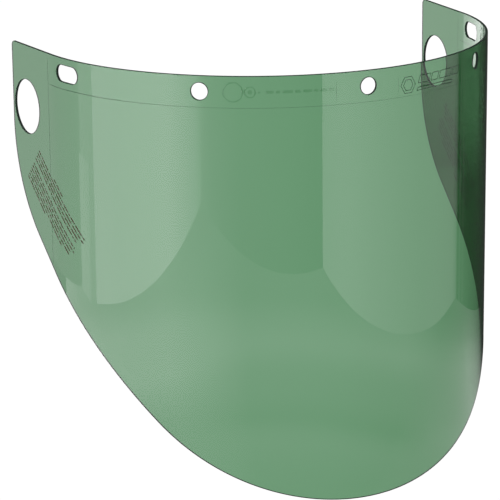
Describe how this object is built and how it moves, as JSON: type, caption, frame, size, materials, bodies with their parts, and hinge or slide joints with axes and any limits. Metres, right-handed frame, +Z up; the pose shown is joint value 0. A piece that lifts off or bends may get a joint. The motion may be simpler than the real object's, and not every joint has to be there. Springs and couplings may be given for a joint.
{
  "type": "face shield window",
  "caption": "Curved green-tinted face-shield window with flat ears, round brow holes, side slots and large ear holes for the headgear.",
  "frame": {"origin": "on the axis of the centre hole, at the outer face of the sheet", "axes": "+Z up, +Y from the window towards the wearer, +X to the wearer's left, which is the right as seen from the front"},
  "size_m": [0.2768, 0.1777, 0.2477],
  "materials": {
    "tinted_sheet": "clear polished sheet, medium green tint all through, glossy on both faces",
    "ink": "thin dark brown printing ink, matt"
  },
  "bodies": {
    "root": {"window": "tinted_sheet", "left_print": "ink", "right_print": "ink"}
  },
  "joints": []
}
